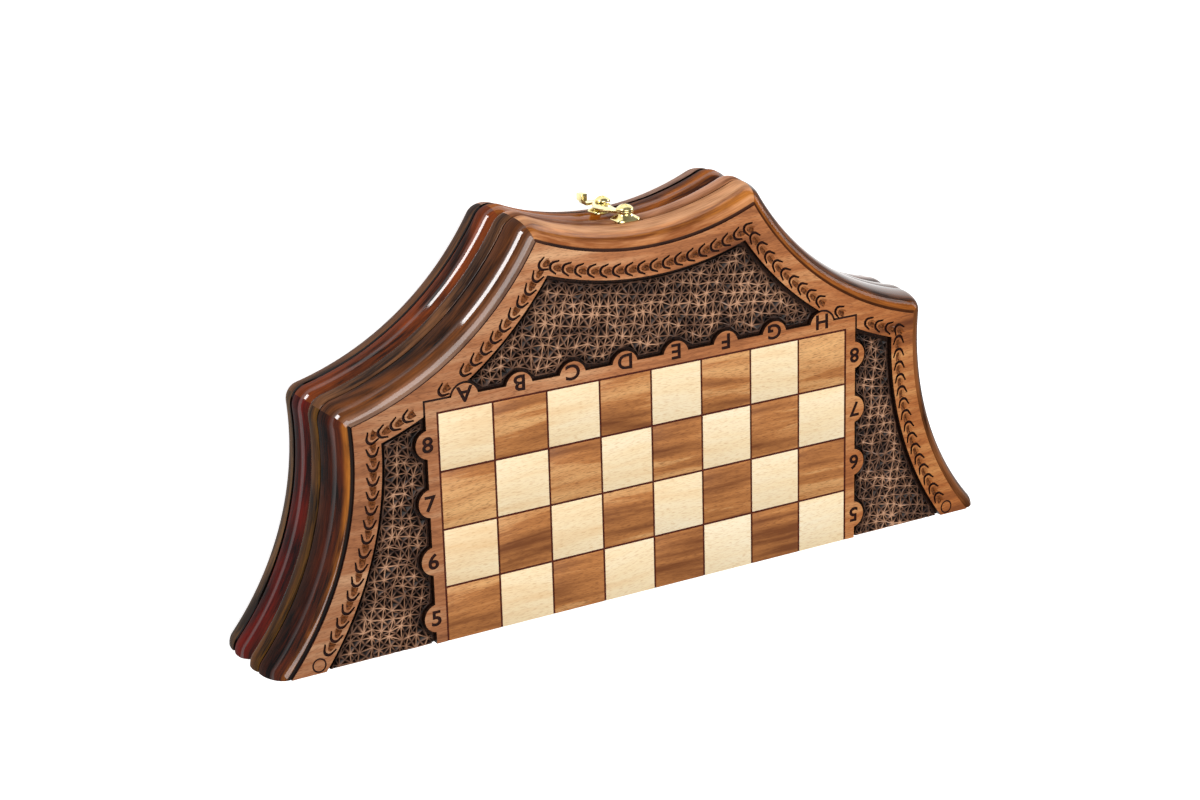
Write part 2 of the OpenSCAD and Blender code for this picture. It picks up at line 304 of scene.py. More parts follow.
def chain_frame(k, s, inset):
    """A point of side k on the chain's line, and the direction in which the chain runs there."""
    radius = ARC_R + inset
    turned = TURN * (k + 0.5) + math.pi + s / radius
    return side_centre(k) + ray(turned, radius), ray(turned - math.pi / 2, 1)


def crescent():
    """One stab of the gouge: bold round the back of the scale and along its two arms, which end bluntly."""
    outer = [Vector((3.2, 0)) + ray(math.radians(a), 3.45) for a in range(106, 255, 14)]
    inner = [Vector((3.9, 0)) + ray(math.radians(a), 2.3) for a in range(254, 105, -14)]
    upper_arm, lower_arm = [Vector((5.8, 3.4)), Vector((5.8, 4.5))], [Vector((5.8, -4.5)), Vector((5.8, -3.4))]
    return upper_arm + outer + lower_arm + inner


def hollow(side):
    """One slope of the scoop from the lip of a scale to the back of the next, as points with depths."""
    around = [(Vector((x, y)), depth) for x, y, depth in HOLLOW_VALLEY]
    around += [(Vector((x, side * y)), 0.0) for x, y in HOLLOW_SIDE]
    return around if side > 0 else around[::-1]


def panel_cuts(half):
    """Every polygon of a panel, as (what it is, its points), and the depths of the hollows' points."""
    depths = []
    cuts = [("whole", outline(0)), ("inside", outline(FRAME_W)), ("board", rectangle(STRIP_X, STRIP_Y)),
            ("edge", rectangle(STRIP_X + EDGE_LINE, STRIP_Y + EDGE_LINE)),
            ("grid", rectangle(GRID_X + LINE_W / 2, GRID_Y + LINE_W / 2))]
    for tab in TABS:
        cuts += [("board", disc(tab, TAB_R)), ("edge", disc(tab, TAB_R + EDGE_LINE))]
    letters, numbers = ("ABCDEFGH", "5678") if half == "lid" else ("HGFEDCBA", "4321")
    marks = [(letter, Vector((GRID_X - (i + 0.5) * SQUARE, GRID_Y + LETTER_UP)), -1)
             for i, letter in enumerate(letters)]
    marks += [(number, Vector((s * (GRID_X + NUMBER_OUT), (j + 0.5) * SQUARE - FOLD_LOSS)), s)
              for j, number in enumerate(numbers) for s in (1, -1)]
    for character, centre, way in marks:
        for face in glyph(character):
            cuts.append(("letter", [centre + Vector((-p.x * LETTER_STRETCH, p.y)) * way for p in reversed(face)]))
    corners = [ray(TURN * k, mitre_distance(CHAIN_INSET)) for k in SIDES[1:]]
    chain = [(corner, Vector((-corner.y, corner.x)).normalized()) for corner in corners]
    for k in SIDES:
        stations = [CHAIN_PITCH * ((CHAIN_COUNT - 1) / 2 - j) for j in range(CHAIN_COUNT)]
        if k in (0, 4):
            stations = stations[k == 0:CHAIN_COUNT - (k == 4)]
        chain += [chain_frame(k, station, CHAIN_INSET) for station in stations]
    for at, way in chain:
        if board_gap(at) < EDGE_LINE + SCALE_BACK:
            continue
        side, start = Vector((-way.y, way.x)), at - way * SCALE_BACK
        cuts.append(("crescent", [start + way * p.x + side * p.y for p in crescent()]))
        for s in (-1, 1):
            cuts.append(("hollow", [start + way * p.x + side * p.y for p, _ in hollow(s)]))
            depths.append([depth for _, depth in hollow(s)])
    for k, s in ((0, RING_S), (4, -RING_S)):
        at, _ = chain_frame(k, s, RING_INSET)
        cuts += [("ring", disc(at, RING_R)), ("ring_core", disc(at, RING_R - RING_LINE))]
    return cuts, depths


def face_down(bm):
    """Turns every face's front to the outside of a half that lies face down."""
    for face in bm.faces:
        face.normal_update()
        if face.normal.z > 0:
            face.normal_flip()


def sink(bm, faces, depth, finish):
    """Presses faces into the wood, with walls round them."""
    made = bmesh.ops.extrude_face_region(bm, geom=faces)["geom"]
    low_verts = [g for g in made if isinstance(g, bmesh.types.BMVert)]
    bmesh.ops.delete(bm, geom=[f for f in faces if f.is_valid], context="FACES")
    bmesh.ops.translate(bm, verts=low_verts, vec=(0, 0, depth))
    for v in low_verts:
        for f in v.link_faces:
            f.material_index = finish


for half in ("base", "lid"):
    cuts, hollow_depths = panel_cuts(half)
    hollow_depths = iter(hollow_depths)
    points, polygons, depth_of, shaded_slope_side = [], [], {}, {}
    for kind, shape in cuts:
        polygons.append(list(range(len(points), len(points) + len(shape))))
        if kind == "hollow":
            depth_of.update(zip(polygons[-1], next(hollow_depths)))
            shaded_slope_side[len(polygons) - 1] = len(shaded_slope_side) % 2
        points += shape
    verts, _, triangles, origins, _, inside_of = delaunay_2d_cdt(points, [], polygons, 1, FINEST)
    bm = bmesh.new()
    bm_verts = [bm.verts.new((p.x, p.y, 0)) for p in verts]
    groups, stabs, slopes = {"letter": [], "grid": [], "line": [], "ground": []}, {}, set()
    for triangle, found in zip(triangles, inside_of):
        kinds = {cuts[i][0] for i in found}
        if "whole" not in kinds or len(set(triangle)) < 3:
            continue
        face = bm.faces.new([bm_verts[i] for i in triangle])
        if "letter" in kinds:
            groups["letter"].append(face)
        elif "grid" in kinds:
            groups["grid"].append(face)
        elif "board" in kinds:
            continue
        elif "inside" in kinds:
            groups["ground"].append(face)
        elif "edge" in kinds or ("ring" in kinds and "ring_core" not in kinds):
            groups["line"].append(face)
        elif "crescent" in kinds:
            stab = next(i for i in found if cuts[i][0] == "crescent")
            stabs.setdefault(stab, []).append(face)
        elif "hollow" in kinds:
            slope = next(i for i in found if cuts[i][0] == "hollow")
            # One slope of each hollow takes the dark finish as painted shade; the other stays plain wood.
            face.material_index = SHADED_SLOPE if shaded_slope_side[slope] else WOOD
            slopes.update(face.verts)
    face_down(bm)
    for vert, came_from in zip(bm_verts, origins):
        if vert in slopes:
            vert.co.z = max((depth_of.get(i, 0.0) for i in came_from), default=0.0)
    for faces in stabs.values():
        region = bmesh.ops.dissolve_faces(bm, faces=faces)["region"]
        walls = bmesh.ops.inset_individual(bm, faces=region, thickness=CRESCENT_WALL, depth=-CRESCENT_DEPTH)["faces"]
        for face in walls + region:
            face.material_index = BURNT_AND_WALL_SHADE
    for kind, depth, finish in (("letter", LETTER_DEPTH, BURNT_AND_WALL_SHADE), ("grid", LINE_DEPTH, GRID),
                                ("line", LINE_DEPTH, BURNT_AND_WALL_SHADE), ("ground", GROUND_DEPTH, FLOOR)):
        sink(bm, groups[kind], depth, finish)
    at_fold = [f for f in bm.faces if all(v.co.y < ON_FOLD for v in f.verts)]
    bmesh.ops.delete(bm, geom=at_fold, context="FACES")
    rim = [e for e in bm.edges if e.is_boundary and max(v.co.y for v in e.verts) > ON_FOLD]
    made = bmesh.ops.extrude_edge_only(bm, edges=rim)["geom"]
    back_verts = [g for g in made if isinstance(g, bmesh.types.BMVert)]
    # The panel's outer walls take the dark burnt finish: painted shade, a dark line along the step at the frame's
    # outer edge.
    for v in back_verts:
        v.co.z = PANEL_T
        for face in v.link_faces:
            face.material_index = BURNT_AND_WALL_SHADE
    foot = bm.edges.new([v for v in back_verts if v.co.y < ON_FOLD])
    back = [g for g in made if isinstance(g, bmesh.types.BMEdge)] + [foot]
    fold = [e for e in bm.edges if max(v.co.y for v in e.verts) < ON_FOLD and len(e.link_faces) < 2]
    bmesh.ops.edgeloop_fill(bm, edges=back)
    bmesh.ops.edgeloop_fill(bm, edges=fold)
    bmesh.ops.recalc_face_normals(bm, faces=bm.faces)
    bm.transform(HALF_PLACE[half])
    panel = finished(f"{half}_carved_panel", bm, half, panel_finishes, 12)
    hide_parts(f"{half}_panel")

# Squares
# Thirty-two squares of each half's beech board stand between the burnt lines: the pale ones are bare under the
# varnish and the others stained. Their arrises are just broken, and the grain runs on from one to the next.
SQUARE_T, SQUARE_ARRIS = 1.0, 0.14
pale_wood = beech("pale_squares", 3.1, tone(244, 208, 158), tone(253, 229, 186), tone(255, 238, 204),
                  tone(216, 170, 116), 0.5, 0.4)
dark_wood = beech("stained_squares", 5.7, tone(122, 68, 30), tone(190, 124, 68), tone(232, 178, 118),
                  tone(112, 62, 30), 0.55, 0.42, patch=0.045)
for half in ("base", "lid"):
    for name, parity, wood in (("pale_squares", 0, pale_wood), ("dark_squares", 1, dark_wood)):
        bm = bmesh.new()
        for i in range(8):
            for j in range(4):
                if (i + j) % 2 != parity:
                    continue
                low = max(0, j * SQUARE - FOLD_LOSS + LINE_W / 2)
                high = (j + 1) * SQUARE - FOLD_LOSS - LINE_W / 2
                centre = Vector(((i + 0.5) * SQUARE - GRID_X, (low + high) / 2, SQUARE_T / 2))
                size = Matrix.Diagonal((SQUARE - LINE_W, high - low, SQUARE_T, 1))
                bmesh.ops.create_cube(bm, size=1, matrix=Matrix.Translation(centre) @ size)
        arrises = [e for e in bm.edges if all(v.co.z < SQUARE_T / 2 for v in e.verts)]
        bmesh.ops.bevel(bm, geom=arrises, offset=SQUARE_ARRIS, affect="EDGES", segments=2, profile=0.5, material=-1)
        bm.transform(HALF_PLACE[half])
        finished(f"{half}_{name}", bm, half, [wood], 30)

# Carved ground
# The sunk ground is punched all over by hand: ridges meet in eight-rayed stars about 6 mm apart, with a
# three-cornered pit between each two rays, and a plain dark channel is left beside the walls.
STAR_PITCH, CHANNEL_BOARD, CHANNEL_FRAME = 6.0, 2.2, 2.4
FIELD_REACH, FIELD_TURN, FIELD_MARGIN = 260, math.radians(9), 12
STAR_STRAY, CROSSING_STRAY = 1.7, 0.8
CREST_DEPTH, CROSSING_DEPTH, RIDGE_HALF, RIDGE_ROUND, PIT, PIT_ROOM = 1.5, 2.0, 0.27, 0.12, 1.6, 0.62
FOOT_DEPTH, FADE = GROUND_DEPTH + 0.3, 4


def ground_room(p):
    """How far a point lies inside the stars' field; negative outside it."""
    frame_side = min((p - side_centre(k)).length for k in SIDES) - ARC_R - FRAME_W - CHANNEL_FRAME
    return min(frame_side, board_gap(p) - CHANNEL_BOARD, mitre_distance(FRAME_W) - p.length)


ground_wood, tree, shader = new_material("carved_ground")
# The colour follows the ridge height, lowered near the walls as painted shade.
crest = add(tree, "Attribute", {"attribute_name": "crest"}).outputs["Fac"]
blotch = add(tree, "TexNoise", Vector=where(tree), Scale=70.0, Detail=2.0)
worn = reckoned(tree, "ADD", wood_figure(tree, 8.3)["Streak"], blotch.outputs[0])
height = reckoned(tree, "ADD", crest, reckoned(tree, "MULTIPLY_ADD", worn, 0.35, -0.36))
ground_colour = ramp(tree, height, (0.35, tone(8, 4, 3)), (0.6, tone(22, 12, 9)), (0.75, tone(72, 48, 36)),
                     (0.9, tone(130, 93, 70)), (1.0, tone(198, 152, 120)))
tree.links.new(ground_colour, shader.inputs["Base Color"])
shader.inputs["Roughness"].default_value = 0.45
shader.inputs["Specular IOR Level"].default_value = 0.2
shader.inputs["Coat Weight"].default_value = 0.02
shader.inputs["Coat Roughness"].default_value = 0.12

for half in ("base", "lid"):
    chance = random.Random(11 if half == "lid" else 12)
    bm = bmesh.new()
    cells = int(2 * FIELD_REACH / STAR_PITCH)
    turn = Matrix.Rotation(FIELD_TURN, 4, "Z")
    bmesh.ops.create_grid(bm, x_segments=cells, y_segments=cells, size=FIELD_REACH, matrix=turn)
    far = [v for v in bm.verts if ground_room(v.co.xy) < -FIELD_MARGIN or v.co.y < -FIELD_MARGIN]
    bmesh.ops.delete(bm, geom=far, context="VERTS")
    for v in bm.verts:
        v.co += Vector((chance.uniform(-STAR_STRAY, STAR_STRAY), chance.uniform(-STAR_STRAY, STAR_STRAY), 0))
        v.co.z = CREST_DEPTH + chance.uniform(-0.15, 0.2)
    for v in bmesh.ops.poke(bm, faces=bm.faces[:])["verts"]:
        v.co += Vector((chance.uniform(-CROSSING_STRAY, CROSSING_STRAY),
                        chance.uniform(-CROSSING_STRAY, CROSSING_STRAY), 0))
        v.co.z = CROSSING_DEPTH + chance.uniform(-0.15, 0.15)
    outside = [f for f in bm.faces if all(ground_room(v.co.xy) < 0.4 for v in f.verts)]
    bmesh.ops.delete(bm, geom=outside, context="FACES")
    for v in bm.verts:
        for _ in range(4):
            room = ground_room(v.co.xy)
            if room > -0.02:
                break
            step = 0.05
            slope = Vector((ground_room(v.co.xy + Vector((step, 0))) - room,
                            ground_room(v.co.xy + Vector((0, step))) - room)) / step
            move = slope.normalized() * -room
            v.co += Vector((move.x, move.y, 0))
    cut = bm.verts[:] + bm.edges[:] + bm.faces[:]
    bmesh.ops.bisect_plane(bm, geom=cut, dist=0.001, plane_co=(0, 0.2, 0), plane_no=(0, -1, 0), clear_outer=True)
    face_down(bm)
    wide = [f for f in bm.faces if 2 * f.calc_area() / f.calc_perimeter() > PIT_ROOM]
    bmesh.ops.inset_individual(bm, faces=wide, thickness=RIDGE_HALF, depth=-RIDGE_ROUND, use_even_offset=True)
    for v in bmesh.ops.poke(bm, faces=wide)["verts"]:
        v.co.z += PIT * chance.uniform(0.75, 1.1)
    rim = [e for e in bm.edges if e.is_boundary]
    for g in bmesh.ops.extrude_edge_only(bm, edges=rim)["geom"]:
        if isinstance(g, bmesh.types.BMVert):
            g.co.z = FOOT_DEPTH
    bmesh.ops.holes_fill(bm, edges=[e for e in bm.edges if e.is_boundary], sides=0)
    bmesh.ops.recalc_face_normals(bm, faces=bm.faces)
    shaded_crest_values = []
    for v in bm.verts:
        height = (GROUND_DEPTH - v.co.z) / (GROUND_DEPTH - CREST_DEPTH)
        # Painted shade: the ridge height that sets the stars' colour is lowered by up to a fifth within FADE mm of
        # the walls.
        shade = 0.8 + 0.2 * min(1.0, max(0.0, ground_room(v.co.xy)) / FADE)
        shaded_crest_values.append(max(0.0, min(1.0, height)) * shade)
    bm.transform(HALF_PLACE[half])
    stars = finished(f"{half}_star_ground", bm, half, [ground_wood], 25)
    stars.data.attributes.new("crest", "FLOAT", "POINT").data.foreach_set("value", shaded_crest_values)

# Moulded rails
# Five rails go round each half. Their ovolo, quirk and bead are bent along the hollow side, turned round every
# corner and mitred there, stained dark and lacquered to a high gloss; the inside of the rail is plain. Sheen,
# highlights and shade are painted into their colour in bands along the moulding, and each rail is painted
# lighter or darker as it is lit.
RAIL_W, SEAM_W, SEAM_FACE = 12.0, 5.5, 38.35
STEP_H, OVOLO_FROM, OVOLO_W, OVOLO_END, QUIRK_W, QUIRK_DEPTH = 1.2, 1.0, 11.6, 19.6, 1.4, 0.6
BEAD_W, BEAD_H, BEAD_BULGE = 12.4, 12.8, 1.8
BEAD_FOOT, BEAD_TOP = BEAD_W - BEAD_BULGE, OVOLO_END + QUIRK_W
BEND = math.atan2(5, 12)
CORNER_TURN = BEND + TURN / 2
RAIL_STEPS, CORNER_STEPS, RAIL_APART = 56, 16, 300
SEAT_X, SEAT_LOW, SEAT_HIGH, SEAT_OUT, SEAT_EDGE = 8.5, 19.0, 32.0, 222.91, 0.1


def arc(centre_w, centre_z, radius_w, radius_z, degrees):
    return [(centre_w + radius_w * math.cos(math.radians(a)), centre_z + radius_z * math.sin(math.radians(a)))
            for a in degrees]


moulding = [(0.0, STEP_H)]
moulding += arc(OVOLO_FROM, OVOLO_END, OVOLO_W - OVOLO_FROM, OVOLO_END - STEP_H, range(-90, 1, 5))
moulding += [(BEAD_FOOT - QUIRK_DEPTH, OVOLO_END + QUIRK_W / 2)]
moulding += arc(BEAD_FOOT, BEAD_TOP + BEAD_H / 2, BEAD_BULGE, BEAD_H / 2, range(-90, 67, 12))
SEAM_ARC, (from_w, from_z) = 19, moulding[-1]
seam_tilt = math.degrees(math.atan2(from_w - SEAM_W, SEAM_FACE - from_z))
seam_r = math.hypot(from_w - SEAM_W, SEAM_FACE - from_z) / 2 / math.sin(math.radians(SEAM_ARC))
[(start_w, start_z)] = arc(0, 0, seam_r, seam_r, [seam_tilt - SEAM_ARC])
moulding += arc(from_w - start_w, from_z - start_z, seam_r, seam_r,
                [seam_tilt + SEAM_ARC * i / 3 for i in range(-2, 3)])
moulding += [(SEAM_W, SEAM_FACE), (0.0, SEAM_FACE)]
rail_section = [(-RAIL_W, PANEL_T), (0.0, PANEL_T)] + moulding + [(-RAIL_W, SEAM_FACE)]


def girth(z):
    """The length along the moulding from the frame's edge to height z."""
    length = 0.0
    for (w0, z0), (w1, z1) in zip(moulding[1:-1], moulding[2:-1]):
        if z <= z1:
            return length + math.hypot(w1 - w0, z1 - z0) * max(0.0, z - z0) / (z1 - z0)
        length += math.hypot(w1 - w0, z1 - z0)
    return length


GIRTH = girth(SEAM_FACE)
QUIRK_FROM, QUIRK_TO, BEAD_ROUND = girth(OVOLO_END), girth(BEAD_TOP + 0.3), girth(BEAD_TOP + 0.85 * BEAD_H)
CREST_GLOSS = ((0, 1.0), (9.5, 1.0), (12.5, 0.12), (BEAD_ROUND - 0.8, 0.12), (BEAD_ROUND + 0.4, 1.0), (GIRTH, 1.0))
SIDE_GLOSS = ((0, 0.15), (8.0, 0.15), (12.0, 0.9), (GIRTH, 1.0))
# Each rail's dark and light tones at lengths along the moulding. Besides the stain, they hold painted light: pale
# greyish bands for the lacquer's sheen, a pale band at the lid's seam for a highlight, a near-black strip at the
# frame's edge of some lid rails for the shade of the step, and paler tones on the rails that face the light, darker
# ones on the rails in shade.
RAIL_TONES_AND_PAINTED_LIGHT = {
    "lid_top": ((0, (40, 18, 10), (84, 46, 26)), (0.5, (40, 18, 10), (84, 46, 26)),
                (1.0, (150, 84, 40), (220, 150, 92)), (4, (140, 80, 40), (212, 148, 98)),
                (6, (104, 52, 12), (184, 112, 42)), (10, (104, 54, 16), (192, 118, 50)),
                (13, (120, 74, 42), (204, 152, 112)), (23, (110, 64, 36), (190, 132, 88)),
                (27, (98, 54, 28), (176, 118, 80)), (36, (110, 66, 42), (186, 136, 108)),
                (38.5, (170, 134, 124), (224, 200, 194)), (46, (90, 42, 18), (150, 84, 42))),
    "lid_upper_left": ((0, (80, 52, 38), (150, 114, 92)), (3.5, (66, 40, 26), (136, 94, 70)),
                       (6, (28, 12, 6), (116, 64, 24)), (12, (16, 7, 4), (98, 52, 20)),
                       (23, (18, 8, 5), (88, 50, 28)), (27, (32, 17, 10), (116, 76, 48)),
                       (36, (26, 13, 7), (96, 58, 30)), (46, (50, 24, 12), (124, 78, 48))),
    "lid_lower_left": ((0, (8, 4, 3), (34, 18, 11)), (0.9, (8, 4, 3), (34, 18, 11)),
                       (1.6, (84, 40, 8), (184, 112, 38)), (3.5, (60, 26, 6), (160, 90, 26)),
                       (5.5, (10, 4, 3), (92, 36, 10)), (12, (5, 2, 2), (76, 26, 8)),
                       (23, (8, 4, 3), (66, 32, 16)), (27, (18, 9, 5), (112, 74, 26)),
                       (32, (14, 7, 4), (84, 48, 18)), (46, (24, 12, 6), (96, 62, 28))),
    "lid_upper_right": ((0, (40, 18, 8), (90, 48, 24)), (0.5, (40, 18, 8), (90, 48, 24)),
                        (1.0, (84, 40, 12), (170, 100, 44)), (4, (48, 22, 8), (150, 84, 34)),
                        (9, (26, 12, 6), (112, 62, 28)), (23, (26, 14, 10), (92, 60, 42)),
                        (36, (30, 16, 10), (100, 68, 48)), (46, (36, 18, 10), (106, 64, 38))),
    "lid_lower_right": ((0, (60, 30, 12), (140, 82, 42)), (6, (40, 22, 14), (112, 74, 48)),
                        (23, (34, 23, 18), (100, 78, 64)), (46, (36, 20, 14), (104, 74, 54))),
    "base_top": ((0, (60, 28, 10), (136, 80, 36)), (10, (76, 48, 36), (144, 106, 84)),
                 (23, (84, 56, 44), (154, 118, 100)), (27, (50, 18, 4), (136, 70, 16)),
                 (36, (60, 24, 4), (148, 80, 20)), (46, (56, 22, 4), (144, 76, 20))),
    "base_upper_left": ((0, (30, 12, 6), (96, 52, 22)), (23, (32, 17, 10), (106, 68, 40)),
                        (27, (22, 6, 3), (108, 44, 12)), (36, (24, 6, 2), (120, 50, 12)),
                        (46, (30, 8, 2), (140, 64, 14))),
    "base_lower_left": ((0, (26, 16, 10), (90, 62, 38)), (12, (30, 19, 12), (98, 68, 42)),
                        (23, (34, 22, 13), (110, 76, 44)), (26, (24, 5, 2), (150, 62, 16)),
                        (28, (12, 1, 1), (88, 12, 4)), (40, (16, 1, 1), (100, 14, 4)),
                        (46, (30, 3, 2), (124, 36, 10))),
    "base_upper_right": ((0, (46, 22, 10), (120, 74, 40)), (23, (56, 34, 24), (130, 96, 78)),
                         (27, (40, 15, 5), (118, 60, 20)), (46, (46, 19, 6), (126, 68, 22))),
}
RAIL_TONES_AND_PAINTED_LIGHT["base_lower_right"] = RAIL_TONES_AND_PAINTED_LIGHT["base_upper_right"]


def lacquered(name, tones_and_painted_light, gloss):
    """Dark lacquer over stained beech. tones_and_painted_light gives a dark and a light tone at lengths along the
    moulding from the frame's edge, with painted sheen, highlights and shade among them, and gloss how thick the
    polished lacquer stands there."""
    material, tree, shader = new_material(name)
    sheet = add(tree, "UVMap", {"uv_map": "along_rail"}).outputs[0]
    clouds = add(tree, "TexNoise", Vector=stretched(tree, sheet, 16.0, 90.0, 1.0), Scale=1.0, Detail=4.0,
                 Distortion=0.8)
    strands = add(tree, "TexNoise", Vector=stretched(tree, sheet, 60.0, 900.0, 1.0), Scale=1.0, Detail=5.0,
                  Roughness=0.6)
    both = reckoned(tree, "MULTIPLY_ADD", strands.outputs[0], 0.5, clouds.outputs[0])
    share = add(tree, "MapRange", Value=both, From_Min=0.6, From_Max=0.93)
    across = add(tree, "SeparateXYZ", Vector=sheet).outputs["Y"]
    place = reckoned(tree, "DIVIDE", across, GIRTH * MM)
    dark = ramp(tree, place, *[(at / GIRTH, tone(*colour)) for at, colour, _ in tones_and_painted_light])
    light = ramp(tree, place, *[(at / GIRTH, tone(*colour)) for at, _, colour in tones_and_painted_light])
    # The quirk is painted near black: painted shade in its groove.
    past_ovolo = reckoned(tree, "GREATER_THAN", across, QUIRK_FROM * MM)
    before_bead = reckoned(tree, "LESS_THAN", across, QUIRK_TO * MM)
    quirk = reckoned(tree, "MULTIPLY", past_ovolo, before_bead)
    colour = mixed(tree, quirk, mixed(tree, share.outputs[0], dark, light), tone(8, 4, 3))
    tree.links.new(colour, shader.inputs["Base Color"])
    coat = ramp(tree, place, *[(at / GIRTH, (weight, weight, weight, 1)) for at, weight in gloss])
    tree.links.new(coat, shader.inputs["Coat Weight"])
    shader.inputs["Roughness"].default_value = 0.5
    shader.inputs["Specular IOR Level"].default_value = 0.0
    shader.inputs["Coat Roughness"].default_value = 0.06
    return material


def chain_of(bm, shape, corner, direction, closed):
    """Stands a section up in the plane that holds corner and direction, as a chain of edges."""
    verts = [bm.verts.new((corner.x + direction.x * w, corner.y + direction.y * w, z)) for w, z in shape]
    pairs = list(zip(verts, verts[1:])) + ([(verts[-1], verts[0])] if closed else [])
    return verts + [bm.edges.new(p) for p in pairs]


def cut_seat(bm):
    """Cuts the flat that a clasp plate lies on into the middle of a rail."""
    marks = [((s * (SEAT_X + over), 0, 0), (1, 0, 0)) for s in (-1, 1) for over in (0, SEAT_EDGE)]
    marks += [((0, 0, z), (0, 0, 1)) for z in (SEAT_LOW, SEAT_LOW - SEAT_EDGE, SEAT_HIGH, SEAT_HIGH + SEAT_EDGE)]
    for place, way in marks:
        cut = bm.verts[:] + bm.edges[:] + bm.faces[:]
        bmesh.ops.bisect_plane(bm, geom=cut, dist=FINEST, plane_co=place, plane_no=way)
    for v in bm.verts:
        if abs(v.co.x) < SEAT_X + 0.01 and SEAT_LOW - 0.01 < v.co.z < SEAT_HIGH + 0.01:
            v.co.y = min(v.co.y, SEAT_OUT - APOTHEM)


rail_names = ("lower_left", "upper_left", "top", "upper_right", "lower_right")
for half, names in (("base", rail_names[::-1]), ("lid", rail_names)):
    for k, name in enumerate(names):
        bm = bmesh.new()
        left, outward = Vector((-HALF_CHORD, 0)), ray(math.pi / 2 - BEND, 1)
        bmesh.ops.spin(bm, geom=chain_of(bm, rail_section, left, outward, True), cent=(0, ARC_CENTRE, 0),
                       axis=(0, 0, 1), angle=2 * BEND, steps=RAIL_STEPS)
        for s in (-1, 1):
            cut = bm.verts[:] + bm.edges[:] + bm.faces[:]
            beyond = (s * math.cos(TURN / 2), -math.sin(TURN / 2), 0)
            bmesh.ops.bisect_plane(bm, geom=cut, dist=FINEST, plane_co=(s * HALF_CHORD, 0, 0), plane_no=beyond,
                                   clear_outer=True)
        for s in (-1, 1):
            corner, outward = Vector((s * HALF_CHORD, 0)), ray(math.pi / 2 + s * BEND, 1)
            bmesh.ops.spin(bm, geom=chain_of(bm, moulding, corner, outward, False), cent=(corner.x, 0, 0),
                           axis=(0, 0, 1), angle=-s * CORNER_TURN, steps=CORNER_STEPS)
        bmesh.ops.remove_doubles(bm, verts=bm.verts, dist=0.002)
        bmesh.ops.holes_fill(bm, edges=[e for e in bm.edges if e.is_boundary], sides=0)
        bmesh.ops.recalc_face_normals(bm, faces=bm.faces)
        if name == "top":
            cut_seat(bm)
        along_rail = bm.loops.layers.uv.new("along_rail")
        for face in bm.faces:
            for loop in face.loops:
                p = loop.vert.co
                angle = math.atan2(p.x, ARC_CENTRE - p.y)
                loop[along_rail].uv = ((angle * ARC_R + RAIL_APART * k) * MM, girth(p.z) * MM)
        turn = Matrix.Rotation(TURN * (k + 0.5) - math.pi / 2, 4, "Z")
        bm.transform(turn @ Matrix.Translation((0, APOTHEM, 0)))
        bm.transform(HALF_PLACE[half])
        key = f"{half}_{name}"
        lacquer = lacquered(f"lacquer_{key}", RAIL_TONES_AND_PAINTED_LIGHT[key], SIDE_GLOSS if name.endswith("right") else CREST_GLOSS)
        rail = finished(f"{half}_moulded_rail_{name}", bm, half, [lacquer], 30)
        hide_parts(f"{half}_rail_{name}")


# Fold rails
# A straight stained rail closes each half along the fold and takes the hinges in two shallow recesses.
# Its long arrises are just broken with a plane.
def worked_copy(node, body, material, arris, change=None):
    """A copy of a CAD piece with joined faces, broken arrises and its finish."""
    bm = bmesh.new()
    bm.from_mesh(frame["nodes"][node].data)
    bmesh.ops.remove_doubles(bm, verts=bm.verts, dist=1e-6)
    bmesh.ops.dissolve_limit(bm, angle_limit=math.radians(0.5), verts=bm.verts, edges=bm.edges)
    if change:
        change(bm)
    sharp = [e for e in bm.edges if len(e.link_faces) == 2 and e.calc_face_angle() > math.radians(40)]
    bmesh.ops.bevel(bm, geom=sharp, offset=arris, affect="EDGES", segments=2, profile=0.5, material=-1,
                    clamp_overlap=True)
    piece = finished(f"{node}_worked", bm, body, [material], 35)
    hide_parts(node)


for half in ("base", "lid"):
    worked_copy(f"{half}_fold_rail", half, frame_wood, 0.3 * MM)

# Hinges and clasp
# Two butt hinges let into the fold rails, and the hook with its two headed posts on plates, all of plated
# brass, its tone and shine varying in smears, with edges worn round.
TAB_FROM_X, TAB_FROM_Y, TAB_MIDDLE, TAB_WIDER = -0.0104, 0.1173, -0.01125, 2.6
SEAT_Y, POST_HEIGHT = 109.71, {"base": 25.5, "lid": 51.5}
PLATE_RINGS = ((0.0, 8.0, 6.2, 0.5), (1.3, 8.0, 6.2, 0.5), (1.7, 7.7, 5.95, 0.52), (2.1, 6.9, 5.5, 0.6),
               (2.7, 6.0, 5.2, 0.75), (3.3, 5.3, 4.95, 0.9), (3.9, 4.8, 4.75, 1.0), (4.5, 4.6, 4.6, 1.0))
brass, tree, shader = new_material("brass")
smears = add(tree, "TexNoise", Vector=where(tree), Scale=160.0, Detail=3.0)
tree.links.new(ramp(tree, smears.outputs[0], (0.3, tone(196, 178, 112)), (0.7, tone(240, 228, 176))),
               shader.inputs["Base Color"])
rough = add(tree, "MapRange", Value=smears.outputs[0], To_Min=0.12, To_Max=0.26)
tree.links.new(rough.outputs[0], shader.inputs["Roughness"])
shader.inputs["Metallic"].default_value = 1.0


def widen_tab(bm):
    """Makes the hook's finger tab as stout as in the photo."""
    tab = [v for v in bm.verts if v.co.x < TAB_FROM_X and v.co.y > TAB_FROM_Y]
    bmesh.ops.scale(bm, verts=tab, vec=(TAB_WIDER, 1, 1), space=Matrix.Translation((-TAB_MIDDLE, 0, 0)))


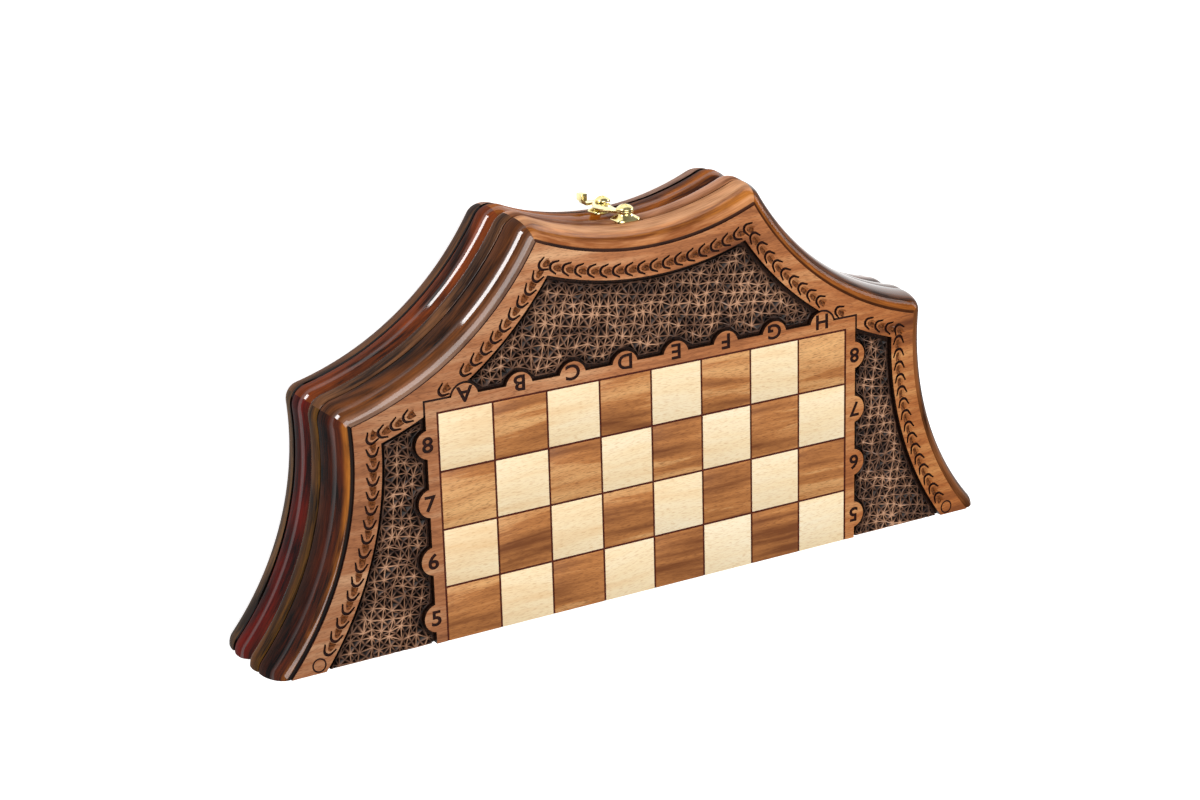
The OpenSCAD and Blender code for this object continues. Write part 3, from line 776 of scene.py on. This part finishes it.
for body, nodes in frame["record"]["behaviour"]["bodies"].items():
    for node in nodes:
        if "rail" not in node and not node.endswith(("panel", "_plate")):
            worked_copy(node, body, brass, 0.12 * MM, widen_tab if node == "hook" else None)
for node, half in (("catch_plate", "base"), ("pivot_plate", "lid")):
    bm = bmesh.new()
    rings = [bmesh.ops.create_circle(bm, segments=64, radius=1)["verts"]]
    edges = bm.edges[:]
    for _ in PLATE_RINGS[1:]:
        made = bmesh.ops.extrude_edge_only(bm, edges=edges)["geom"]
        edges = [g for g in made if isinstance(g, bmesh.types.BMEdge)]
        rings.append([g for g in made if isinstance(g, bmesh.types.BMVert)])
    for ring, (up, half_x, half_z, squareness) in zip(rings, PLATE_RINGS):
        for v in ring:
            v.co = (math.copysign(abs(v.co.x) ** squareness * half_x, v.co.x), up,
                    math.copysign(abs(v.co.y) ** squareness * half_z, v.co.y))
    bmesh.ops.holes_fill(bm, edges=[e for e in bm.edges if e.is_boundary], sides=0)
    bmesh.ops.recalc_face_normals(bm, faces=bm.faces)
    bmesh.ops.translate(bm, verts=bm.verts, vec=(0, SEAT_Y, POST_HEIGHT[half]))
    bmesh.ops.scale(bm, verts=bm.verts, vec=(MM, MM, MM))
    plate = finished(f"{node}_flared", bm, half, [brass], 50)
    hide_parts(node)

# Floor
# A plain white sweep, which the shut box lies on. It looks white to the camera and to the lacquer, and its
# own diffuse part takes the box's soft shadow.
FLOOR_HALF, FLOOR_DROP, FLOOR_GLOW = 6, 0.0004, 0.8
bm = bmesh.new()
bmesh.ops.create_grid(bm, x_segments=1, y_segments=1, size=FLOOR_HALF)
floor_mesh = bpy.data.meshes.new("floor")
bmesh.ops.translate(bm, verts=bm.verts, vec=(0, 0, -FLOOR_DROP))
bm.to_mesh(floor_mesh)
bm.free()
floor = bpy.data.objects.new("floor", floor_mesh)
bpy.context.scene.collection.objects.link(floor)
paper = bpy.data.materials.new("white_floor")
paper.use_nodes = True
tree = paper.node_tree
tree.nodes.clear()
path = add(tree, "LightPath").outputs
seen = reckoned(tree, "MAXIMUM", path["Is Camera Ray"], path["Is Glossy Ray"])
seen = reckoned(tree, "MAXIMUM", seen, path["Is Transmission Ray"])
light = add(tree, "Emission", Strength=reckoned(tree, "MULTIPLY", seen, FLOOR_GLOW))
matt = add(tree, "BsdfDiffuse", Color=(0.8, 0.8, 0.8, 1))
total = add(tree, "AddShader", _0=light.outputs[0], _1=matt.outputs[0])
add(tree, "OutputMaterial", Surface=total.outputs[0])
floor_mesh.materials.append(paper)


# Studio
# Two soft boxes at the sides and one above, in a pale room, and the camera at the photograph's angle.
def soft_box(name, place, aim, width, height, power):
    lamp = bpy.data.lights.new(name, "AREA")
    lamp.shape, lamp.size, lamp.size_y, lamp.energy = "RECTANGLE", width, height, power
    holder = bpy.data.objects.new(name, lamp)
    bpy.context.scene.collection.objects.link(holder)
    holder.visible_camera = False
    holder.location = place
    holder.rotation_euler = (Vector(aim) - Vector(place)).to_track_quat("-Z", "Y").to_euler()


soft_box("far_box", (-1.10, 1.12, 0.22), (-0.12, 0.1, 0.05), 0.6, 0.38, 15)
soft_box("right_strip", (1.5, 0.5, 0.4), (0, 0, 0.04), 0.8, 0.55, 16)
soft_box("top_box", (-0.3, 0.4, 1.9), (0, 0, 0.04), 1.4, 1.4, 31)

world = bpy.data.worlds.new("room")
bpy.context.scene.world = world
world.use_nodes = True
room = world.node_tree
path = add(room, "LightPath").outputs
strength = reckoned(room, "MULTIPLY_ADD", path["Is Glossy Ray"], 0.16, 0.12)
strength = reckoned(room, "MAXIMUM", strength, path["Is Camera Ray"])
background = room.nodes["Background"]
background.inputs["Color"].default_value = (1, 1, 1, 1)
room.links.new(strength, background.inputs["Strength"])

lens = bpy.data.cameras.new("camera")
lens.lens, lens.sensor_width = 72.15, 36.0
camera = bpy.data.objects.new("camera", lens)
bpy.context.scene.collection.objects.link(camera)
camera.location = (-0.69740, 0.44816, 1.22528)
camera.rotation_euler = (-0.3016201, -0.5318143, -0.0310824)
bpy.context.scene.camera = camera
bpy.context.scene.view_settings.view_transform = "Standard"
